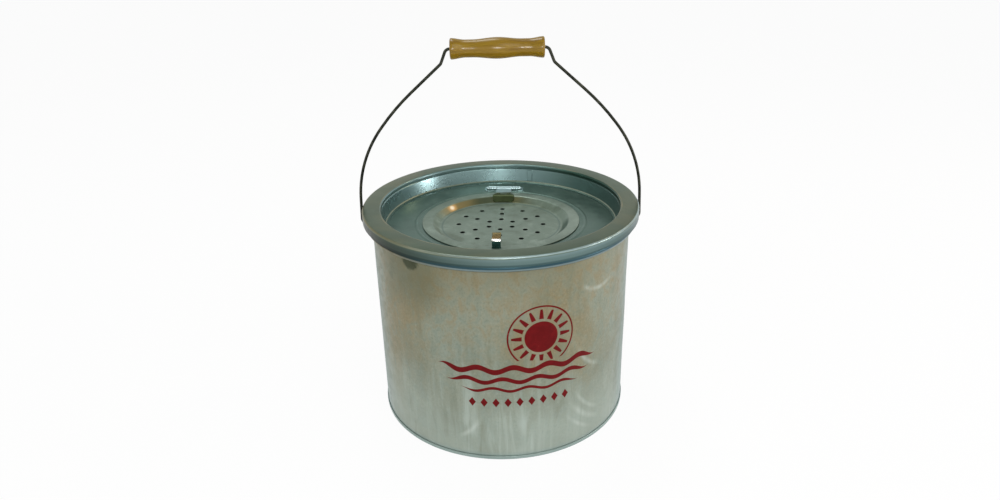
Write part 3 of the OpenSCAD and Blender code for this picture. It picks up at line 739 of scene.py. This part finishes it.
def seen_by_view(tree):
    """1 where a camera, glossy or transmission ray asks, else 0."""
    lp = tree.nodes.new("ShaderNodeLightPath")
    total = lp.outputs["Is Camera Ray"]
    for k in ("Is Glossy Ray", "Is Transmission Ray"):
        m = tree.nodes.new("ShaderNodeMath")
        m.operation = "MAXIMUM"
        tree.links.new(total, m.inputs[0])
        tree.links.new(lp.outputs[k], m.inputs[1])
        total = m.outputs[0]
    return total


def mix_shaders(tree, fac, lit, seen, output):
    """The tree's output: lit where fac is 0, seen where it is 1."""
    mix, out = tree.nodes.new("ShaderNodeMixShader"), tree.nodes.new(output)
    for source, target in zip((fac, lit.outputs[0], seen.outputs[0]), mix.inputs):
        tree.links.new(source, target)
    tree.links.new(mix.outputs[0], out.inputs[0])


# the pale backdrop is white up to the horizon and greyer overhead
scene.world = bpy.data.worlds.new("world")
tree = emptied(scene.world)
seen, lit = tree.nodes.new("ShaderNodeBackground"), tree.nodes.new("ShaderNodeBackground")
seen.inputs[1].default_value = 1.0
lit.inputs[0].default_value, lit.inputs[1].default_value = SKY_LIGHT, SKY_POWER
coord, parts = tree.nodes.new("ShaderNodeTexCoord"), tree.nodes.new("ShaderNodeSeparateXYZ")
height, shade = tree.nodes.new("ShaderNodeMapRange"), tree.nodes.new("ShaderNodeMix")
height.interpolation_type, shade.data_type = "SMOOTHSTEP", "RGBA"
height.inputs[1].default_value, height.inputs[2].default_value = SKY_WHITE_TO, SKY_GREY_FROM
shade.inputs[6].default_value, shade.inputs[7].default_value = WHITE, SKY_GREY
tree.links.new(coord.outputs["Generated"], parts.inputs[0])
tree.links.new(parts.outputs["Z"], height.inputs[0])
tree.links.new(height.outputs[0], shade.inputs["Factor"])
tree.links.new(shade.outputs[2], seen.inputs[0])
mix_shaders(tree, seen_by_view(tree), lit, seen, "ShaderNodeOutputWorld")

floor_mesh = bpy.data.meshes.new("floor")
corners = [(x, y, GROUND_Z) for x, y in ((-6, -6), (6, -6), (6, 6), (-6, 6))]
floor_mesh.from_pydata(corners, [], [(0, 1, 2, 3)])
floor = new_object("floor", floor_mesh)
floor.data.materials.append(bpy.data.materials.new("floor"))
tree = emptied(floor.data.materials[0])
lit, seen = tree.nodes.new("ShaderNodeBsdfDiffuse"), tree.nodes.new("ShaderNodeEmission")
lit.inputs[0].default_value = (0.92, 0.92, 0.92, 1)
seen.inputs[0].default_value, seen.inputs[1].default_value = WHITE, 1.0
glow = tree.nodes.new("ShaderNodeMath")
glow.operation = "MULTIPLY"
glow.inputs[1].default_value = FLOOR_GLOW
tree.links.new(seen_by_view(tree), glow.inputs[0])
mix_shaders(tree, glow.outputs[0], lit, seen, "ShaderNodeOutputMaterial")

for name, at, target, size, power, color in LAMPS:
    lamp = bpy.data.lights.new(name, "AREA")
    lamp.shape, lamp.size, lamp.energy, lamp.color = "DISK", size, power, color
    o = bpy.data.objects.new(name, lamp)
    scene.collection.objects.link(o)
    o.location = at
    o.rotation_euler = (Vector(target) - Vector(at)).to_track_quat("-Z", "Y").to_euler()

# ---- Pail

SEAM_FOOT, SEAM_TOP = 5.1, 195.45         # the folded side seam, at the back
SEAM_AT, SEAM_HALF = 90, 3.18 / 2         # its bearing and half its width, in degrees
SEAM_OUT = 0.8                            # how far it stands out
DENT_DEPTH, DENT_SCALE, DENT_SEED = 0.35, 0.02, 5.0


def dents(r, a, z):
    """Small hand-made unevenness of the sheet, the same on both of its faces."""
    out = np.zeros(r.shape)
    for i, j in np.ndindex(r.shape):
        out[i, j] = noise.noise(Vector((math.cos(a[i, j]) * 3, math.sin(a[i, j]) * 3,
                                        z[i, j] * DENT_SCALE + DENT_SEED)))
    return out * DENT_DEPTH


def within(x, lo, hi, soft):
    """1 between lo and hi, falling to 0 at either over the length soft."""
    return np.clip((x - lo) / soft, 0, 1) * np.clip((hi - x) / soft, 0, 1)


def wall_bend(r, a, z):
    """The wall's dents, and its seam on the outer face alone."""
    off = np.abs(np.degrees(a) - SEAM_AT)
    fold = np.clip((SEAM_HALF - off) / 0.2, 0, 1) * within(z, SEAM_FOOT, SEAM_TOP, 0.8)
    outer = np.clip((r - (WALL_R - T)) / T, 0, 1) * (r < WALL_R + 0.01)
    return r + dents(r, a, z) * within(z, 8, 192, 20) + fold * outer * (SEAM_OUT - 0.02), z


def cut_long(outline, levels):
    """The outline with its upright long edges cut at the given heights."""
    out = []
    for i, p in enumerate(outline):
        q = outline[(i + 1) % len(outline)]
        out.append(np.array(p))
        if abs(q[1] - p[1]) > 8:
            inner = [z for z in levels if min(p[1], q[1]) + 0.3 < z < max(p[1], q[1]) - 0.3]
            for z in sorted(inner, reverse=bool(q[1] < p[1])):
                out.append(np.array(p) + (np.array(q) - np.array(p)) * (z - p[1]) / (q[1] - p[1]))
    return out


def with_turns(count, centre, offsets):
    """Even angles round a ring, with closer ones to both sides of a seam. Degrees in, radians out."""
    near = max(offsets) + 0.3
    even = [360 / count * i for i in range(count)]
    close = [centre] + [centre + side * d for d in offsets for side in (-1, 1)]
    return np.radians(sorted([a for a in even if abs(a - centre) > near] + close))


wall_path = [(WALL_R - T, T + GAP), (WALL_R - T, RIM_Z)] + arc(RIM_R, RIM_Z, CURL_R, 180, -100, 28)[1:]
levels = [SEAM_FOOT, SEAM_FOOT + 0.8] + [12 + 8 * i for i in range(23)] + [SEAM_TOP - 0.8, SEAM_TOP]
turns = with_turns(320, SEAM_AT, [0.7, 1.36, 1.39, 1.59, 1.62, 2.2])
wall = revolve("pail_wall_dressed", cut_long(sheet(wall_path, -T), levels), turns, wall_bend)
place(wall, "pail", "pail_wall", sheet_body)

inside, outside = WALL_R - T - GAP, WALL_R + GAP
bottom_outline = rounded([(0, 5), (inside - T, 5), (inside - T, 0), (outside + T, 0), (outside + T, FOOT_H),
                          (outside + 0.1, FOOT_H), (outside, FOOT_H - 0.6), (outside, T), (inside, T),
                          (inside, 5 + T), (0, 5 + T)],
                         [0, 0.5, 0.5, 0.6, 0.45, 0.2, 0, 0.2, 0.2, 0.5, 0])
place(revolve("pail_bottom_dressed", bottom_outline, 320), "pail", "pail_bottom",
      sheet_body)

# ---- Float collar, well and deck

EDGE_R, LIP_R = 1.9, 1.8                  # the collar's rolls, outer and inner
LAP_FOOT, LAP_TOP = DECK_Z + T + 2.1, TOP_Z - LIP_H - 1.4          # the lap seam of the well's strip
LAP_AT, LAP_HALF, LAP_IN = 73.0, 1.5, 0.5                          # bearing, half its angle, depth

rolled_r = COLLAR_R - 0.02
collar_path = [(rolled_r, SKIRT_Z)] + arc(rolled_r - EDGE_R, TOP_Z - EDGE_R, EDGE_R, 0, 90, 14) \
    + arc(WELL_R + LIP_R, TOP_Z - LIP_R, LIP_R, 90, 180, 9) + [(WELL_R, TOP_Z - LIP_H)]
place(revolve("collar_dressed", sheet(collar_path, T), 320), "insert", "collar_shell",
      sheet_collar)

joggle = T + GAP
well_top = TOP_Z - LIP_H - 1.2
well_path = rounded([(WELL_FOOT - 2.4, DECK_Z + T), (WELL_FOOT, DECK_Z + T), (WELL_R, well_top),
                     (WELL_R + joggle, TOP_Z - LIP_H - 0.15), (WELL_R + joggle, TOP_Z - T - 1.1)],
                    [0, 0.9, 0.6, 0.4, 0])


def well_bend(r, a, z):
    """The lap stands inward, on the strip's inner face alone."""
    off = np.abs(np.degrees(a) - LAP_AT)
    inner = r < np.interp(z, [DECK_Z + T, well_top], [WELL_FOOT, WELL_R]) + T / 2
    fold = np.clip((LAP_HALF - off) / 0.2, 0, 1) * within(z, LAP_FOOT, LAP_TOP, 0.5)
    return r - inner * LAP_IN * fold, z


turns = with_turns(320, LAP_AT, [0.6, 1.28, 1.3, 1.5, 1.52, 2.2])
levels = [LAP_FOOT, LAP_FOOT + 0.5, 200, 204, LAP_TOP - 0.5, LAP_TOP]
well = revolve("well_dressed", cut_long(sheet(well_path, -T), levels), turns, well_bend)
place(well, "insert", "well_wall", sheet_well)

deck_outer = BASKET_R - T - GAP
bead = [(BEAD_R + BEAD_HALF - 2 * BEAD_HALF * i / 20,
         DECK_Z + BEAD_H * 0.5 * (1 - math.cos(2 * math.pi * i / 20))) for i in range(21)]
deck_path = rounded([(deck_outer, DECK_Z - 6.7), (deck_outer, DECK_Z)], 0) + bead \
    + rounded([(BEAD_R - 3, DECK_Z), (OPEN_R + 0.3, DECK_Z), (OPEN_R, DECK_Z - 3.2)], [0, 0.9, 0])
place(revolve("deck_dressed", sheet(deck_path, T), 320), "insert", "deck_plate",
      sheet_deck)

# ---- Door

PIERCED_T = 0.45                          # the dish's sheet where the breather holes are
SLOT_W, SLOT_H = 8.8, T + 1.6             # the slot that the catch passes through


def door_mesh():
    """The dished door, with its breather holes and the catch's slot cut out."""
    top = rounded([(DOOR_R - 0.05, DOOR_Z - 0.3), (DOOR_R - 0.3, DOOR_Z), (DISH_R + 0.6, DOOR_Z),
                   (DISH_FOOT + 0.6, FLOOR_Z + 0.45), (DISH_FOOT - 2.6, FLOOR_Z), (0, FLOOR_Z)],
                  [0, 0.2, 1.8, 1.6, 1.0, 0], 6)
    under = rounded([(0, FLOOR_Z - PIERCED_T), (DISH_FOOT - 6, FLOOR_Z - PIERCED_T),
                     (DISH_FOOT - 3, FLOOR_Z - T), (DISH_FOOT + 0.9, FLOOR_Z - T),
                     (DISH_R + 1.0, DOOR_Z - T), (DOOR_R - 0.3, DOOR_Z - T), (DOOR_R, DOOR_Z - T + 0.3)],
                    [0, 0, 0, 1.6, 1.6, 0.2, 0], 6)
    o = revolve("door_dressed", top + under, 256)
    cut = bmesh.new()
    for r, count, start in VENTS:
        for i in range(count):
            a = math.radians(start + 360 / count * i)
            at = Matrix.Translation((r * math.cos(a) * MM, r * math.sin(a) * MM, (FLOOR_Z - T / 2) * MM))
            bmesh.ops.create_cone(cut, cap_ends=True, segments=28, radius1=VENT_D / 2 * MM,
                                  radius2=VENT_D / 2 * MM, depth=8 * MM, matrix=at)
    at = Matrix.Translation((CATCH_X * MM, -(CATCH_R + T + 0.5 - SLOT_H / 2) * MM, DOOR_Z * MM))
    bmesh.ops.create_cube(cut, size=1, matrix=at @ Matrix.Diagonal((SLOT_W * MM, SLOT_H * MM, 6 * MM, 1)))
    cuts = bpy.data.meshes.new("cuts")
    cut.to_mesh(cuts)
    cut.free()
    cutter = new_object("cuts", cuts)
    b = o.modifiers.new("cut", "BOOLEAN")
    b.operation, b.object, b.solver = "DIFFERENCE", cutter, "EXACT"
    o.data = bpy.data.meshes.new_from_object(o.evaluated_get(bpy.context.evaluated_depsgraph_get()))
    o.modifiers.clear()
    bpy.data.objects.remove(cutter)
    return smooth(o, 32)


place(turned_by(door_mesh(), TURN), "door", "door_pan", sheet_door)

# ---- Bail and grip

UP_X = COLLAR_R + 1.0 + WIRE_R            # where the leg stands, clear of the collar
PIVOT_X = WALL_R + 4.2 + 0.6              # where the wire starts to bend up out of the ear
EYE_BEND = UP_X - PIVOT_X
ROD_HALF = GRIP_L / 2 + 0.3
STEPS = [                                 # each a straight length, then a bend's radius and turn
    (20.6, 120, 35.5), (3, 230, 10.5), (37.6, 5, -26.5), (9.8, 1, 0)]
LEG_LEAN = 2.5                            # first heading, before the whole is tilted to fit
ENTRY = 5.0                               # radius of the bend into the grip


def bail_path():
    """Half of the bail as (x, z), from the ear to the middle of the grip.
    The steps are tilted and scaled together so that they end at the grip."""
    def sn(d):
        return math.sin(math.radians(d))

    def cs(d):
        return math.cos(math.radians(d))

    def span(tilt):
        """How far inward and upward the steps have to reach."""
        first, last = head[0] + tilt, head[3] + tilt
        return (PIVOT_X + EYE_BEND * cs(first) - ROD_HALF - ENTRY * cs(last),
                GRIP_Z - EYE_Z - EYE_BEND * (1 + sn(first)) - ENTRY * (1 - sn(last)))

    head = [LEG_LEAN]                     # headings, in degrees inward from straight up
    for _, _, a in STEPS[:3]:
        head.append(head[-1] + a)
    up_by = in_by = 0.0
    for i, (l, r, a) in enumerate(STEPS):
        up_by += l * cs(head[i])
        in_by += l * sn(head[i])
        if a:
            sg = math.copysign(1, a)
            up_by += sg * r * (sn(head[i + 1]) - sn(head[i]))
            in_by += sg * r * (cs(head[i]) - cs(head[i + 1]))
    base, tilt = math.degrees(math.atan2(in_by, up_by)), 0.0
    for _ in range(4):
        tilt = math.degrees(math.atan2(*span(tilt))) - base
    k = math.hypot(*span(tilt)) / math.hypot(in_by, up_by)
    pts = [(WALL_R + 1.0, EYE_Z), (PIVOT_X, EYE_Z)]
    x, z, h = PIVOT_X, EYE_Z, -90.0

    def straight(l):
        nonlocal x, z
        n = max(1, int(l / 4))
        for _ in range(n):
            x -= l / n * sn(h)
            z += l / n * cs(h)
            pts.append((x, z))

    def bend(r, a):
        nonlocal x, z, h
        n = max(4, int(abs(a) / 2.5))
        sg = math.copysign(1, a)
        for _ in range(n):
            h0, h1 = h, h + a / n
            z += sg * r * (sn(h1) - sn(h0))
            x -= sg * r * (cs(h0) - cs(h1))
            h = h1
            pts.append((x, z))

    bend(EYE_BEND, 90 + head[0] + tilt)
    for l, r, a in STEPS:
        straight(l * k)
        if a:
            bend(r * k, a)
    bend(ENTRY, 90 - (head[3] + tilt))
    return pts + [(0.0, GRIP_Z)]


half_path = bail_path()
bail = [(x, 0, z) for x, z in half_path] + [(-x, 0, z) for x, z in half_path[-2::-1]]
place(tube("bail_dressed", bail, WIRE_SEEN, 24), "bail", "bail_wire", wire_mat)


def grip_outline():
    """Barrel in the middle, long shallow hand holds, and ends that flare."""
    half, n, edge = GRIP_L / 2, 80, 1.5

    def step(x, lo, hi):
        t = min(1, max(0, (x - lo) / (hi - lo)))
        return t * t * (3 - 2 * t)

    top = []
    for i in range(n + 1):
        x = (half - 1) * (2 * i / n - 1)
        hold = step(abs(x), 1, 22) * (1 - step(abs(x), 29, 42.5))
        top.append((GRIP_D / 2 - GRIP_WAIST / 2 * hold, x))
    left = arc(GRIP_D / 2 - edge, -half + edge, edge, -90, -5, 6)
    right = arc(GRIP_D / 2 - edge, half - edge, edge, 5, 90, 6)
    return [(WIRE_R + 0.08, -half + 0.4), (WIRE_R + 0.5, -half)] + left + top[2:-2] + right \
        + [(WIRE_R + 0.5, half), (WIRE_R + 0.08, half - 0.4)]


grip = revolve("grip_dressed", grip_outline(), 96, axis="x", angle=50)
grip.data.transform(Matrix.Translation((0, 0, GRIP_Z * MM)))
place(grip, "grip", "grip", wood_mat)

# ---- Small fittings, from their solids with rounded edges

for node, body, slot, mat, width in [
        ("ear_left", "pail", "galvanised_fittings", fitting, 0.25),
        ("ear_right", "pail", "galvanised_fittings", fitting, 0.25),
        ("ear_rivets", "pail", "galvanised_fittings", fitting, 0.15),
        ("hinge_leaf", "insert", "bright_steel", bright, 0.2),
        ("leaf_rivets", "insert", "bright_steel", bright, 0.12),
        ("hinge_pin", "insert", "bright_steel", bright, 0.12),
        ("door_strap", "door", "bright_steel", olive, 0.2),
        ("strap_rivets", "door", "bright_steel", olive, 0.12),
        ("catch_strip", "door", "bright_steel", spring, 0.15),
        ("catch_rivet", "door", "bright_steel", bright, 0.12)]:
    place(softened(node, width), body, node, mat)

# ---- CAD nodes that keep their shape

for node, mat in [("pail_rim_wire", fitting), ("float_floor", sheet_inner), ("deck_solder", solder),
                  ("basket_wall", sheet_inner), ("basket_bottom", sheet_inner)]:
    dress(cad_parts[node], mat)
